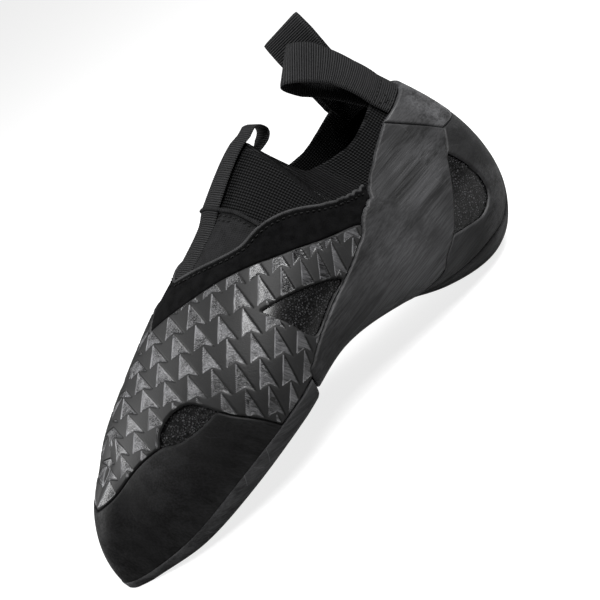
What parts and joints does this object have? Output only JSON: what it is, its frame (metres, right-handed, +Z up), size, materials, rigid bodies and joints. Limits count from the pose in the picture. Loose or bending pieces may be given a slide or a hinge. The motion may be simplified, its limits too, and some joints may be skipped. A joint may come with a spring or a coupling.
{
  "type": "climbing shoe",
  "caption": "Slip-on climbing shoe for the left foot, strongly downturned, with rubber toe and heel, patterned forefoot rubber and webbing pull loops.",
  "frame": {"origin": "on the floor, in the flat spot under the heel", "axes": "-X to the toe, +X to the heel, -Y to the outer side of the foot, +Z up"},
  "size_m": [0.2534, 0.09, 0.1394],
  "materials": {
    "knit": "fine ribbed knit",
    "board": "matte board with cloth",
    "sole_rubber": "ground rubber",
    "rand_rubber": "satin rubber with sanding lines",
    "scale_rubber": "moulded relief, glossy in the hollows",
    "suede": "matte suede",
    "elastic": "woven elastic",
    "webbing": "ribbed webbing"
  },
  "bodies": {
    "root": {"upper": "knit", "insole": "board", "outsole": "sole_rubber", "toe_rand": "rand_rubber", "heel_sling": "rand_rubber", "heel_cup_outer": "rand_rubber", "heel_cup_inner": "rand_rubber", "heel_strip": "rand_rubber", "heel_top": "rand_rubber", "scale_overlay": "scale_rubber", "suede_band": "suede", "instep_panel": "elastic", "front_pull_loop": "webbing", "heel_pull_loop_outer": "webbing", "heel_pull_loop_inner": "webbing"}
  },
  "joints": []
}
